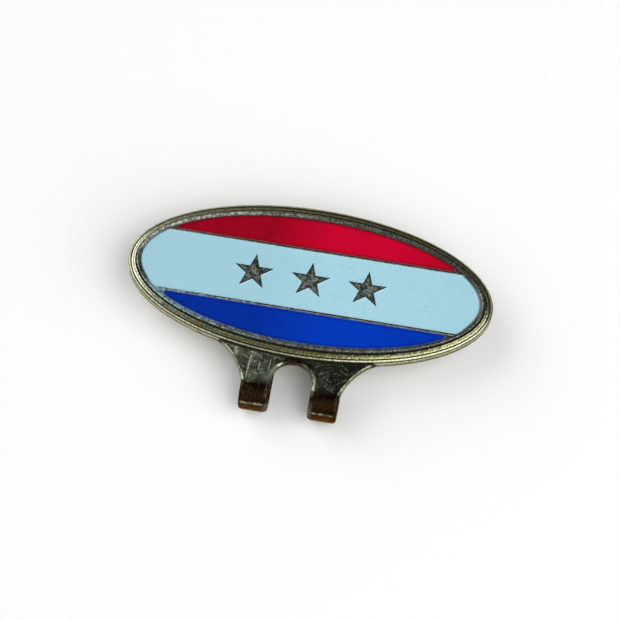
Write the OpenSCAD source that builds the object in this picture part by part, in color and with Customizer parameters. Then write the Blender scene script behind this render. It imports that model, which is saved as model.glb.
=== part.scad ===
// Golf ball marker on a cap clip, lying on its back with its face up.
// A bent sheet clip holds a disc magnet in a shallow oval tray, and an oval enamelled marker sits on it.
// X runs along the oval, the legs point to -Y, and the tongue behind lies on Z = 0.

/* [Oval] */
// Length of the clip's oval, rim included
oval_l = 40; // [36:0.5:46]
// Width of the clip's oval, rim included
oval_w = 18.4; // [16:0.2:22]

/* [Rim] */
// Height of the rim's ridges above the face of the legs
ridge_h = 0.35; // [0.25:0.05:0.6]
// Width of the outer ridge
outer_ridge_w = 0.42; // [0.3:0.02:0.6]
// Width of the groove between the ridges
groove_w = 0.14; // [0.1:0.02:0.3]
// Depth of the groove below the ridges
groove_d = 0.2; // [0.1:0.05:0.4]
// Width of the inner ridge
inner_ridge_w = 0.44; // [0.2:0.02:0.6]

/* [Clip sheet] */
// Thickness of the clip's sheet
sheet_t = 0.8; // [0.6:0.05:1]
// Outer radius of the two hairpin bends
bend_r = 2; // [1.9:0.05:2.6]
// Depth of the tray's floor below the face of the legs
tray_d = 0.4; // [0.3:0.05:0.5]
// Thickness of the tray's side wall, seen from behind
tray_wall = 0.45; // [0.35:0.05:0.6]

/* [Legs] */
// How far the legs reach past the oval
leg_reach = 5.7; // [5:0.1:8]
// Width of one leg at its bend
leg_w = 3.1; // [2.5:0.05:4.5]
// Width of the arched slot between the legs
slot_w = 4.35; // [3.5:0.05:5]
// Width of the bridge between the oval and the arch
bridge_w = 0.45; // [0.3:0.05:1]
// Half width of the flare where the legs run into the oval
flare_w = 9; // [8.4:0.1:10]
// Lean of a leg's outer side where the bend begins, in degrees
leg_lean = 12; // [3:0.5:16]

/* [Tongue] */
// Length of the tongue from the bend line to its tip
tongue_l = 20.8; // [19:0.1:21.5]
// Distance from the bend line to the line that grips the brim
grip_l = 17.2; // [15:0.1:18]
// Length of the slot in the tongue, from the bend line to the top of its arch
back_slot_l = 5; // [4.5:0.1:6]
// Width of the flat bar beyond the tongue's slot
back_bar_w = 1.6; // [1:0.1:2.5]
// Gap between the tongue and the magnet cup with nothing clipped in
jaw_gap = 0.3; // [0.2:0.05:0.5]
// Gap at the line where the tongue flexes
flex_gap = 0.12; // [0.1:0.01:0.2]

/* [Magnet] */
// Diameter of the disc magnet
magnet_dia = 9; // [7:0.5:10]
// Thickness of the disc magnet
magnet_t = 1; // [0.8:0.1:1.2]
// Thickness of the adhesive under the magnet
glue_t = 0.08; // [0.05:0.01:0.15]
// Depth of the magnet's face below the tray's floor
magnet_sink = 0.05; // [0.03:0.01:0.1]
// Clearance around the magnet in its cup
magnet_clear = 0.05; // [0.03:0.01:0.1]
// Thickness of the cup around and under the magnet
cup_wall = 0.5; // [0.4:0.05:0.6]

/* [Marker] */
// Thickness of the marker at its rim
marker_t = 1.05; // [0.9:0.05:1.5]
// Clearance between the marker and the tray's wall
marker_clear = 0.12; // [0.08:0.01:0.2]
// Width of the marker's rim
marker_rim_w = 0.52; // [0.4:0.02:0.9]
// Depth of the marker's recess below its rim
recess_d = 0.45; // [0.35:0.05:0.6]
// Depth of the enamel's surface below the rim
enamel_dip = 0.2; // [0.1:0.05:0.3]
// Depth of the dividers and stars below the rim
relief_dip = 0.1; // [0.05:0.05:0.2]
// Width of the middle band, dividers included
band_w = 7.7; // [6:0.1:9]
// Width of each divider
divider_w = 0.28; // [0.2:0.02:0.5]
// Number of stars in the middle band
star_count = 3; // [1:1:3]
// Radius of a star's points
star_r = 2.3; // [1.5:0.1:2.6]
// Distance between the stars' centres
star_pitch = 6.2; // [5.5:0.1:6.6]

/* [Hidden] */
$fn = 96;

// Overlap that joins or cuts solids cleanly
bite = 0.15;
// The arms of a plain five-pointed star meet at this share of its radius
star_waist = 0.382;
star_points = 5;

// Heights above the surface that the clip lies on
leg_top = 2 * bend_r;
leg_under = leg_top - sheet_t;
ridge_top = leg_top + ridge_h;
tray_floor = leg_top - tray_d;
tray_under = tray_floor - sheet_t;
cup_floor = tray_floor - magnet_sink - magnet_t - glue_t;
cup_under = cup_floor - cup_wall;
tongue_rise = cup_under - jaw_gap - sheet_t;
marker_top = tray_floor + marker_t;
recess_floor = marker_top - recess_d;
enamel_top = marker_top - enamel_dip;
relief_top = marker_top - relief_dip;

// Distances in from the oval's edge
rim_w = outer_ridge_w + groove_w + inner_ridge_w;
marker_inset = rim_w + marker_clear;
recess_inset = marker_inset + marker_rim_w;

// Places along Y, measured from the oval's centre
oval_y = leg_reach / 2;
bend_y = bend_r - leg_reach - oval_w / 2;
arch_y = -oval_w / 2 - bridge_w - slot_w / 2;
tongue_tip_y = bend_y + tongue_l;
grip_y = bend_y + grip_l;
back_arch_y = bend_y + back_slot_l - slot_w / 2;
back_bar_y = bend_y + back_slot_l + back_bar_w;

// Half of the legs' whole width, and the cup's outer radius
span = slot_w / 2 + leg_w;
cup_r = magnet_dia / 2 + magnet_clear + cup_wall;

// The flare is the arc that leaves the leg at its lean, just above the bend, and ends under the oval's edge
flare_start = [span, bend_y + bite];
flare_end = [flare_w, bite - oval_w / 2 * sqrt(1 - pow(2 * flare_w / oval_l, 2))];
flare_step = flare_end - flare_start;
flare_dir = [cos(leg_lean), -sin(leg_lean)];
flare_r = (flare_step * flare_step) / (2 * flare_step * flare_dir);
flare_centre = flare_start + flare_r * flare_dir;

// Moves a piece from the oval's centre to the middle of the whole clip
module placed() translate([0, oval_y, 0]) children();

// An upright oval prism, set in from the clip's oval by the same amount all round
module oval(inset, low, high) {
    translate([0, 0, low])
        scale([oval_l / 2 - inset, oval_w / 2 - inset, 1])
            cylinder(r = 1, h = high - low);
}

module oval_groove() {
    difference() {
        oval(outer_ridge_w, ridge_top - groove_d, ridge_top + bite);
        oval(outer_ridge_w + groove_w, ridge_top - groove_d - bite, ridge_top + 2 * bite);
    }
}

// A slot along Y that ends in a half-round arch
module arched_slot(from_y, centre_y) {
    translate([-slot_w / 2, from_y]) square([slot_w, centre_y - from_y]);
    translate([0, centre_y]) circle(d = slot_w);
}

module leg_outline() {
    difference() {
        union() {
            difference() {
                translate([-flare_w, bend_y]) square([2 * flare_w, flare_end[1] - bend_y]);
                for (side = [-1, 1]) translate([side * flare_centre[0], flare_centre[1]]) circle(r = flare_r);
            }
            translate([-span, bend_y]) square([2 * span, 3 * bite]);
        }
        arched_slot(bend_y - bite, arch_y);
    }
}

module tongue_outline() {
    low_y = bend_y + flex_gap;
    difference() {
        union() {
            translate([-span, low_y]) square([2 * span, tongue_tip_y - span - low_y]);
            translate([0, tongue_tip_y - span]) circle(r = span);
        }
        arched_slot(bend_y - bite, back_arch_y);
    }
}

// Side view of the tongue: flat behind the legs, rising to the grip line, then falling to the tip
module tongue_side() {
    under = [[bend_y, 0], [back_bar_y, 0], [grip_y, tongue_rise], [tongue_tip_y, 0]];
    lift = [0, sheet_t];
    polygon(concat(under, [for (i = [3:-1:0]) under[i] + lift]));
}

// Turns a Y-Z drawing upright and gives it a width along X
module across(width) {
    rotate([90, 0, 90]) linear_extrude(width, center = true) children();
}

module bend(middle_x) {
    translate([middle_x, bend_y, bend_r]) rotate([90, 0, 90])
        rotate_extrude(angle = 180, start = 90)
            translate([bend_r - sheet_t, -leg_w / 2]) square([sheet_t, leg_w]);
}

module star() {
    step = 180 / star_points;
    polygon([
        for (i = [0 : 2 * star_points - 1])
            let (r = i % 2 == 0 ? star_r : star_r * star_waist)
            r * [cos(90 + i * step), sin(90 + i * step)]
    ]);
}

module star_row(low, high) {
    for (i = [0 : star_count - 1])
        translate([(i - (star_count - 1) / 2) * star_pitch, 0, low])
            linear_extrude(high - low) star();
}

// A straight strip across the marker between two distances from its middle
module strip(near_y, far_y, low, high) {
    translate([-oval_l / 2, near_y, low]) cube([oval_l, far_y - near_y, high - low]);
}

module clip_plate() {
    color("darkkhaki") placed() {
        difference() {
            union() {
                oval(0, leg_under, ridge_top);
                oval(rim_w - tray_wall, tray_under, ridge_top);
                translate([0, 0, cup_under]) cylinder(r = cup_r, h = tray_floor - cup_under);
                translate([0, 0, leg_under]) linear_extrude(sheet_t) leg_outline();
            }
            oval(rim_w, tray_floor, ridge_top + bite);
            oval_groove();
            translate([0, 0, cup_floor])
                cylinder(r = cup_r - cup_wall, h = tray_floor + bite - cup_floor);
        }
        for (side = [-1, 1]) bend(side * (span - leg_w / 2));
    }
}

module spring_tongue() {
    color("darkkhaki") placed() intersection() {
        across(2 * span + 2 * bite) tongue_side();
        linear_extrude(ridge_top) tongue_outline();
    }
}

module magnet() {
    color("silver") placed()
        translate([0, 0, cup_floor + glue_t]) cylinder(d = magnet_dia, h = magnet_t);
}

module magnet_adhesive() {
    color("wheat") placed()
        translate([0, 0, cup_floor]) cylinder(d = magnet_dia, h = glue_t);
}

module marker_base() {
    color("darkgray") placed() {
        difference() {
            oval(marker_inset, tray_floor, marker_top);
            oval(recess_inset, recess_floor, marker_top + bite);
        }
        intersection() {
            oval(recess_inset - bite, recess_floor - bite, relief_top);
            for (side = [0, 1]) mirror([0, side, 0])
                strip(band_w / 2 - divider_w, band_w / 2, recess_floor - bite, relief_top);
        }
        star_row(recess_floor - bite, relief_top);
    }
}

module outer_enamel() {
    intersection() {
        oval(recess_inset, recess_floor, enamel_top);
        strip(band_w / 2, oval_w / 2, recess_floor, enamel_top);
    }
}

module red_enamel() {
    color("crimson") placed() outer_enamel();
}

module white_enamel() {
    color("lightblue") placed() difference() {
        intersection() {
            oval(recess_inset, recess_floor, enamel_top);
            strip(divider_w - band_w / 2, band_w / 2 - divider_w, recess_floor, enamel_top);
        }
        star_row(recess_floor - bite, enamel_top + bite);
    }
}

module blue_enamel() {
    color("royalblue") placed() mirror([0, 1, 0]) outer_enamel();
}

clip_plate();
spring_tongue();
magnet();
magnet_adhesive();
marker_base();
red_enamel();
white_enamel();
blue_enamel();
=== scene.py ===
"""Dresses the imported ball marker: a bent sheet clip with an oval tray, its magnet, and an enamelled marker.

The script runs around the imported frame. Lengths are metres, X runs along the oval, the legs point to -Y,
and the face looks up.
"""
import math

import bmesh
import bpy
from bpy.props import FloatProperty, FloatVectorProperty, IntProperty, PointerProperty
from mathutils import Matrix, Vector


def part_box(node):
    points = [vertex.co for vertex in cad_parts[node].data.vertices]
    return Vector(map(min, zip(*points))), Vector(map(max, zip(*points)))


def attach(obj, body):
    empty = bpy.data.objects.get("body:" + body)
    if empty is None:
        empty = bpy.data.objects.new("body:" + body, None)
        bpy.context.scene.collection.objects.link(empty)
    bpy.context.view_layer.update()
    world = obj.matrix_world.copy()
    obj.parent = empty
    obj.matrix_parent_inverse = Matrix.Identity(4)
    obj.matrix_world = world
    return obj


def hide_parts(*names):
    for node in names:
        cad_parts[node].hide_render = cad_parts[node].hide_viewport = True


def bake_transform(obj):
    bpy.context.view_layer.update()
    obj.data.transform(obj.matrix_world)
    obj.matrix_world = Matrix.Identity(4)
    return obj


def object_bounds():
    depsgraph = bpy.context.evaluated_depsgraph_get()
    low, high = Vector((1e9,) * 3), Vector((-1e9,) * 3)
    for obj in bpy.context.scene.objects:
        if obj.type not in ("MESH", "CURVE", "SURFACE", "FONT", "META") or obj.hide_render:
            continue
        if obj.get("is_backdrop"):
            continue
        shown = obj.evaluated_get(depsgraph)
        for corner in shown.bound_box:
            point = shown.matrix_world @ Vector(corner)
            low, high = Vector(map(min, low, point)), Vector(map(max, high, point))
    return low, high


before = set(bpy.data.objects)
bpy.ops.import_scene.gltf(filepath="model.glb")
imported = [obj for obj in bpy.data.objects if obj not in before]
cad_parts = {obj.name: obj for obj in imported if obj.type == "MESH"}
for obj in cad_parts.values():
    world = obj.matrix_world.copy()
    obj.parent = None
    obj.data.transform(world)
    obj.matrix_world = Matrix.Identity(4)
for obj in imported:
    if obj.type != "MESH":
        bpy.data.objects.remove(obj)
CAD_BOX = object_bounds()

bl_info = {
    "name": "Ball marker on a cap clip",
    "version": (1, 0, 0),
    "blender": (4, 5, 0),
    "location": "View3D > Sidebar > Ball marker",
    "description": "Dresses the packed cap clip, its magnet and its enamelled oval marker",
    "category": "Add Mesh",
}

MM = 0.001
QUARTER = math.pi / 2

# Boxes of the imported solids
CLIP_LOW, CLIP_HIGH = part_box("clip_plate")
TONGUE_LOW, TONGUE_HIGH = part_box("spring_tongue")
MAGNET_LOW, MAGNET_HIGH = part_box("magnet")
GLUE_LOW, GLUE_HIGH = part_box("magnet_adhesive")
BASE_LOW, BASE_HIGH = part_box("marker_base")
RED_LOW, RED_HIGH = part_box("red_enamel")
WHITE_LOW, WHITE_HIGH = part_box("white_enamel")

# The oval: its middle, its half axes, and how far in from its edge the marker and its recess begin
OVAL_Y = (BASE_LOW.y + BASE_HIGH.y) / 2
HALF_L = (CLIP_HIGH.x - CLIP_LOW.x) / 2
HALF_W = CLIP_HIGH.y - OVAL_Y
MARKER_INSET = HALF_L - BASE_HIGH.x
RECESS_INSET = HALF_L - WHITE_HIGH.x

# Share of each inset at the oval's two ends, where the lines round its rim run closer together
END_SHARE = 0.85

# Heights
RIDGE_TOP = CLIP_HIGH.z
TRAY_FLOOR = BASE_LOW.z
CUP_FLOOR = GLUE_LOW.z
MARKER_TOP = BASE_HIGH.z
RECESS_FLOOR = WHITE_LOW.z
ENAMEL_TOP = WHITE_HIGH.z

# Half width of the legs and tongue, the tongue's tip, and the outer and inner sides of the two dividers
SPAN = TONGUE_HIGH.x
TIP_Y = TONGUE_HIGH.y
BAND_OUTER = RED_LOW.y - OVAL_Y
BAND_INNER = WHITE_HIGH.y - OVAL_Y

# Marks that the meshes carry for their finishes
# The first mark darkens the colour both for dirty hollows and as painted shade in grooves, at walls and under
# edges
GRIME_AND_SHADE = "grime_and_shade"
# The second mark carries tarnishing near the slot's arch and the brown painted reflection on the bends
TARNISH_AND_REFLECTION = "tarnish_and_reflection"
WEAR = "wear"
EDGE = "edge"
RELIEF = "relief"

# Counts that set how fine the meshes are
OVAL_SEGMENTS = 320
FILLET_STEPS = 5
ROLL_STEPS = 7
ACROSS_LEG = 12
ACROSS_TONGUE = 46

# Points closer than this are one, and the raised relief is rooted this deep in the marker's base
WELD = 0.0002 * MM
ROOT = RECESS_FLOOR - 0.1 * MM

# Turn between a star's points
STAR_FOLD = math.radians(72)


def linear(value):
    """A picture's 0 to 255 value as a linear one."""
    share = value / 255
    return share / 12.92 if share <= 0.04045 else ((share + 0.055) / 1.055) ** 2.4


def length(name, description, millimetres):
    """A length that a user may change."""
    return FloatProperty(
        name=name, description=description, default=millimetres * MM, min=0.0, precision=5, unit="LENGTH"
    )


def angle(name, description, degrees):
    """An angle that a user may change."""
    return FloatProperty(
        name=name, description=description, default=math.radians(degrees), unit="ROTATION"
    )


def colour(name, description, *picture):
    """A colour that a user may change, given as a picture's 0 to 255 values."""
    return FloatVectorProperty(
        name=name, description=description, default=[linear(v) for v in picture],
        size=3, min=0.0, max=1.0, subtype="COLOR",
    )


class ClipSizes(bpy.types.PropertyGroup):
    """Sizes of the bent clip that its packed box doesn't give."""

    outer_ridge_w: length("Outer ridge", "Width of the rim's outer ridge", 0.33)
    ledge_w: length("Ledge", "Width of the ledge between the sheet's edge and the outer ridge", 0.13)
    groove_w: length("Groove width", "Width of the groove between the ridges", 0.14)
    groove_d: length("Groove depth", "Depth of the groove below the ridges", 0.24)
    inner_ridge_w: length("Inner ridge", "Width of the rim's inner ridge", 0.53)
    ridge_fall: length("Ridge fall", "How far the ridges fall outwards", 0.12)
    outer_fall: length("Outer fall", "How far the outer ridge falls towards its outer side", 0.19)
    fine_line: length("Fine line", "How far the fine line lies from the inner ridge's edge", 0.26)
    sheet_t: length("Sheet", "Thickness of the clip's sheet", 0.8)
    bend_r: length("Bend radius", "Outer radius of the two hairpin bends", 2.0)
    tray_wall: length("Tray wall", "Thickness of the tray's side wall", 0.45)
    cup_wall: length("Cup wall", "Thickness of the cup around and under the magnet", 0.5)
    cup_clear: length("Cup clearance", "Clearance around the magnet in its cup", 0.05)
    slot_w: length("Slot", "Width of the arched slot between the legs", 4.35)
    bridge_w: length("Bridge", "Width of the bridge between the oval and the arch", 0.45)
    flare_w: length("Flare", "Half width of the flare where the legs run into the oval", 9.0)
    leg_lean: angle("Leg lean", "Lean of a leg's outer side where the bend begins", 12.0)
    back_slot_l: length("Back slot", "Length of the tongue's slot from the bend line", 5.0)
    back_bar_w: length("Back bar", "Width of the flat bar beyond the tongue's slot", 1.6)
    grip_l: length("Grip", "Distance from the bend line to the line that grips a brim", 17.2)
    slot_roll_w: length("Slot roll width", "Width of the rolled edge around the slot", 0.55)
    slot_roll_h: length("Slot roll height", "Height of the rolled edge around the slot", 0.3)
    side_roll_w: length("Side roll width", "Width of the rolled edge along the outer sides", 0.38)
    side_roll_h: length("Side roll height", "Height of the rolled edge along the outer sides", 0.38)
    burr_r: length("Back edge", "Radius of the edges on the sheet's back face", 0.08)


class MarkerSizes(bpy.types.PropertyGroup):
    """Sizes of the marker that its packed box doesn't give."""

    rim_slope_w: length("Rim slope", "Width of the dark inner slope of the marker's rim", 0.34)
    rim_foot_dip: length("Rim foot", "Depth of the foot of the rim's inner slope", 0.17)
    rim_fall: length("Rim fall", "How far the top of the marker's rim falls outwards", 0.03)
    rim_bevel: length("Rim bevel", "Width of the dark bevel on the rim's outer edge", 0.06)
    relief_dip: length("Relief dip", "Depth of the dividers and stars below the rim", 0.1)
    star_count: IntProperty(name="Stars", description="Number of stars in the middle band", default=3, min=1)
    star_r: length("Star radius", "Radius of a star's points", 2.3)
    star_pitch: length("Star pitch", "Distance between the stars' centres", 6.2)
    relief_edge: length("Relief edge", "Width of the rounded edge of the stars", 0.32)
    tip_r: length("Tip radius", "Radius of the tips of the red and blue fields", 0.28)
    meniscus_h: length("Meniscus height", "Climb of the enamel at the metal", 0.05)
    meniscus_w: length("Meniscus width", "Reach of the enamel's climb", 0.2)
    shade_w: length("Shade width", "Reach of the deeper tone along the edges of the outer fields", 0.45)


class Finishes(bpy.types.PropertyGroup):
    """Colours of the finishes."""

    plating: colour("Plating", "Pale gold plating of the clip", 208, 211, 184)
    brass: colour("Brass", "Warmer metal where the plating is thin", 194, 186, 96)
    worn: colour("Worn plating", "Grey green of the plating worn on the legs", 168, 172, 146)
    # Hazy layer that also paints the left leg lighter, as a painted reflection
    haze_and_reflection: colour("Haze", "Pale grey haze on the left leg", 178, 188, 164)
    # Painted reflection: dark brown high on the bends, also used for tarnishing near the slot's arch
    tarnish_and_reflection: colour("Tarnish", "Brown tarnish on the bends", 50, 30, 12)
    # Painted reflection: reddish brown low on the bends and on the tongue by the bend
    table_reflection: colour("Rust", "Redder tarnish low on the bends", 68, 38, 16)
    # Dark colour for dirty hollows, also used as painted shade in grooves, at walls, under the rim and at the
    # stars' edges
    grime_and_shade: colour("Grime", "Dark dirt in the grooves", 26, 24, 14)
    nickel: colour("Nickel", "Struck metal of the marker", 206, 204, 188)
    # Dark layer that also serves as painted shade on the rim's inner slope and outer bevel
    film_and_shade: colour("Film", "Dark film on the inner slope of the marker's rim", 58, 72, 72)
    relief: colour("Relief", "Darkened tops of the stars", 44, 82, 76)
    red: colour("Red enamel", "Enamel of the upper field", 206, 4, 46)
    # Used towards the left end of the field, and a little at its right end
    deep_red: colour("Deep red", "Deeper red at the field's thick end", 140, 5, 27)
    white: colour("White enamel", "Pale enamel of the middle band", 170, 216, 230)
    deep_white: colour("Deep white", "Deeper tone of the middle band", 163, 207, 220)
    blue: colour("Blue enamel", "Enamel of the lower field", 2, 58, 188)
    # Used towards the left end of the field, and a little at its right end
    deep_blue: colour("Deep blue", "Deeper blue at the field's thick end", 2, 44, 148)
    magnet: colour("Magnet", "Bright nickel on the magnet", 205, 205, 200)
    adhesive: colour("Adhesive", "Set adhesive under the magnet", 214, 190, 140)
    floor: colour("Floor", "Pale floor", 252, 252, 252)


class StageSizes(bpy.types.PropertyGroup):
    """The camera's place."""

    distance: length("Distance", "Distance from the camera to the middle of the oval", 200.0)
    target_h: length("Target height", "Height of the point on the oval that sets the framing", 3.2)
    tilt: angle("Tilt", "Lean of the camera from straight above, towards the legs", 26.6)
    turn: angle("Turn", "Turn of the camera about the upright line", 6.4)
    roll: angle("Roll", "Turn of the camera about its own line of sight", 3.42)
    drop: length("Drop", "How far below the target the picture's middle lies", 2.585)
    side: length("Side", "How far to the right of the target the picture's middle lies", 0.036)
    lens: FloatProperty(
        name="Lens", description="Focal length on a 36 mm sensor", default=106.77, subtype="DISTANCE_CAMERA"
    )


# Small helpers


def ease(low, high, value):
    """0 at low, 1 at high, and an even ease between them."""
    t = min(max((value - low) / (high - low), 0.0), 1.0)
    return t * t * (3 - 2 * t)


def mix(a, b, t):
    return a + (b - a) * t


def half_axes(inset):
    """Half length and half width of the oval that is set in by inset."""
    return HALF_L - END_SHARE * inset, HALF_W - inset


def oval_gap(x, y, inset=0.0):
    """Distance of a point outside the inset oval, near that oval's line."""
    (a, b), v = half_axes(inset), y - OVAL_Y
    slope = 2 * math.hypot(x / a**2, v / b**2)
    return ((x / a) ** 2 + (v / b) ** 2 - 1) / max(slope, 1e-6)


def oval_x(y, inset):
    """Half length of the inset oval at a place along Y."""
    (a, b), v = half_axes(inset), y - OVAL_Y
    return a * math.sqrt(max(1 - (v / b) ** 2, 0.0))


def oval_h(x, inset):
    """Half height of the inset oval at a place along X."""
    a, b = half_axes(inset)
    return b * math.sqrt(max(1 - (x / a) ** 2, 0.0))


def farthest(low, high, holds):
    """The place between low and high up to which something holds."""
    for _ in range(50):
        half = (low + high) / 2
        low, high = (half, high) if holds(half) else (low, half)
    return low


def bridged(rows, size, closed=True):
    """Faces between rows of points. A closed row's last point joins its first."""
    return [
        (i * size + k, i * size + (k + 1) % size, (i + 1) * size + (k + 1) % size, (i + 1) * size + k)
        for i in range(rows - 1)
        for k in range(size if closed else size - 1)
    ]


def tube(rings):
    """Points and faces of a closed shape from rings of points, with both ends capped."""
    size = len(rings[0])
    last = (len(rings) - 1) * size
    caps = [tuple(range(size)), tuple(range(last, last + size))]
    return [p for ring in rings for p in ring], bridged(len(rings), size) + caps


def gathered(shapes):
    """Points and faces of several shapes as one."""
    points, faces = [], []
    for more_points, more_faces in shapes:
        start = len(points)
        points += more_points
        faces += [tuple(start + i for i in face) for face in more_faces]
    return points, faces


def new_object(name, data):
    obj = bpy.data.objects.new(name, data)
    bpy.context.scene.collection.objects.link(obj)
    return obj


def mesh_object(name, points, edges, faces, marks=None):
    """An object from points, edges and faces, with one float attribute for each list of marks."""
    mesh = bpy.data.meshes.new(name)
    mesh.from_pydata([tuple(p) for p in points], edges, faces)
    for label, values in (marks or {}).items():
        mesh.attributes.new(label, "FLOAT", "POINT").data.foreach_set("value", values)
    return new_object(name, mesh)


def clean(obj):
    """Welds doubles and turns every face outwards."""
    bm = bmesh.new()
    bm.from_mesh(obj.data)
    bmesh.ops.remove_doubles(bm, verts=bm.verts, dist=WELD)
    bmesh.ops.recalc_face_normals(bm, faces=bm.faces)
    bm.to_mesh(obj.data)
    bm.free()
    return obj


def freeze(obj):
    """Turns what the object's modifiers make into its own plain mesh."""
    graph = bpy.context.evaluated_depsgraph_get()
    mesh = bpy.data.meshes.new_from_object(
        obj.evaluated_get(graph), preserve_all_data_layers=True, depsgraph=graph
    )
    obj.modifiers.clear()
    obj.data = mesh
    return clean(obj)


def joined(name, *objects):
    """One object from several."""
    first = objects[0]
    with bpy.context.temp_override(
        object=first, active_object=first, selected_objects=objects, selected_editable_objects=objects
    ):
        bpy.ops.object.join()
    first.name = name
    first.data.name = name
    return first


def shade(obj, material, sharp_degrees=42):
    """Gives a piece its only material, and smooth faces that break at sharp edges."""
    obj.data.materials.clear()
    obj.data.materials.append(material)
    obj.data.polygons.foreach_set("material_index", [0] * len(obj.data.polygons))
    obj.data.shade_smooth()
    obj.data.set_sharp_from_angle(angle=math.radians(sharp_degrees))
    return obj


# Node trees


class Value:
    """What a node puts out, with the signs of plain arithmetic."""

    def __init__(self, tree, socket):
        self.tree, self.socket = tree, socket

    def maths(self, operation, *numbers):
        return worked(self.tree, "ShaderNodeMath", dict(enumerate(numbers)), operation=operation)

    def __add__(self, other):
        return self.maths("ADD", self, other)

    def __sub__(self, other):
        return self.maths("SUBTRACT", self, other)

    def __rsub__(self, other):
        return self.maths("SUBTRACT", other, self)

    def __mul__(self, other):
        return self.maths("MULTIPLY", self, other)

    def __pow__(self, other):
        return self.maths("POWER", self, other)

    def __abs__(self):
        return self.maths("ABSOLUTE", self)

    def most(self, other):
        return self.maths("MAXIMUM", self, other)

    def span(self, low, high, to_low=0.0, to_high=1.0):
        """Maps the range from low to high onto another one, and holds the value there."""
        inputs = dict(enumerate((self, low, high, to_low, to_high)))
        return worked(self.tree, "ShaderNodeMapRange", inputs, clamp=True)

    def parts(self):
        """X, Y and Z of a vector."""
        return values(self.tree, add(self.tree, "ShaderNodeSeparateXYZ", {0: self}).outputs)


def add(tree, kind, inputs=None, **settings):
    """Adds a node, sets its settings, and fills or links its inputs by name or place."""
    made = tree.nodes.new(kind)
    for key, value in settings.items():
        setattr(made, key, value)
    for key, value in (inputs or {}).items():
        if isinstance(value, Value):
            tree.links.new(value.socket, made.inputs[key])
        else:
            made.inputs[key].default_value = value
    return made


def worked(tree, kind, inputs=None, output=0, **settings):
    """What a new node puts out."""
    return Value(tree, add(tree, kind, inputs, **settings).outputs[output])


def values(tree, sockets):
    """Output sockets by name, as values."""
    return {socket.name: Value(tree, socket) for socket in sockets if socket.name}


def tree_named(name, build):
    return bpy.data.node_groups.get(name) or build()


def shape_tree(name, inputs):
    """An empty geometry tree with the named inputs, those inputs, and a function that ends it."""
    tree = bpy.data.node_groups.new(name, "GeometryNodeTree")
    for label, kind in {"Geometry": "Geometry", **inputs, "Material": "Material"}.items():
        tree.interface.new_socket(label, in_out="INPUT", socket_type="NodeSocket" + kind)
    tree.interface.new_socket("Geometry", in_out="OUTPUT", socket_type="NodeSocketGeometry")
    given = values(tree, tree.nodes.new("NodeGroupInput").outputs)

    def finish(geometry):
        real = worked(tree, "GeometryNodeRealizeInstances", {0: geometry})
        painted = worked(tree, "GeometryNodeSetMaterial", {0: real, "Material": given["Material"]})
        add(tree, "NodeGroupOutput", {0: painted})

    return tree, given, finish


def oval_sweep_tree():
    """Carries a profile round the oval.

    A profile point holds its inset from the oval in X and its height in Z. Where its Y isn't negative, that
    is the radius of a round ring instead.
    """
    tree, given, finish = shape_tree("Oval sweep", {
        "Half length": "Float", "Half width": "Float", "Middle": "Float", "End share": "Float",
        "Segments": "Int",
    })
    place = worked(tree, "GeometryNodeInputPosition")

    def captured(kind, inputs):
        """A curve that carries its points' first places, and those places."""
        node = tree.nodes.new("GeometryNodeCaptureAttribute")
        node.capture_items.new("VECTOR", "Place")
        for socket, value in zip(node.inputs, (worked(tree, kind, inputs), place)):
            tree.links.new(value.socket, socket)
        curve, places = (Value(tree, socket) for socket in node.outputs[:2])
        return curve, places.parts()

    profile, spot = captured("GeometryNodeMeshToCurve", {0: given["Geometry"]})
    circle = {"Resolution": given["Segments"], "Radius": 1.0}
    ring, turn = captured("GeometryNodeCurvePrimitiveCircle", circle)
    swept = worked(tree, "GeometryNodeCurveToMesh", {"Curve": ring, "Profile Curve": profile})
    is_round = worked(
        tree, "FunctionNodeCompare", {0: spot["Y"], 1: 0.0}, data_type="FLOAT", operation="GREATER_EQUAL"
    )

    def reach(half, inset):
        choices = {0: is_round, 1: half - inset, 2: spot["Y"]}
        return worked(tree, "GeometryNodeSwitch", choices, input_type="FLOAT")

    x = turn["X"] * reach(given["Half length"], spot["X"] * given["End share"])
    y = turn["Y"] * reach(given["Half width"], spot["X"]) + given["Middle"]
    to = worked(tree, "ShaderNodeCombineXYZ", {0: x, 1: y, 2: spot["Z"]})
    finish(worked(tree, "GeometryNodeSetPosition", {"Geometry": swept, "Position": to}))
    return tree


def row_tree():
    """Repeats a shape in a row that is centred on its own place."""
    tree, given, finish = shape_tree("Row", {"Count": "Int", "Step": "Vector"})
    back = (given["Count"] - 1.0) * -0.5
    start = worked(tree, "ShaderNodeVectorMath", {0: given["Step"], "Scale": back}, operation="SCALE")
    places = {"Count": given["Count"], "Start Location": start, "Offset": given["Step"]}
    line = worked(tree, "GeometryNodeMeshLine", places)
    finish(worked(tree, "GeometryNodeInstanceOnPoints", {"Points": line, "Instance": given["Geometry"]}))
    return tree


def grown(obj, tree, inputs):
    """Runs a geometry tree on an object with its inputs set by identifier, and keeps the result."""
    modifier = obj.modifiers.new(tree.name, "NODES")
    modifier.node_group = tree
    for item in tree.interface.items_tree:
        if item.in_out == "INPUT" and item.name in inputs:
            modifier[item.identifier] = inputs[item.name]
    return freeze(obj)


# Profiles that go round the oval


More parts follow.
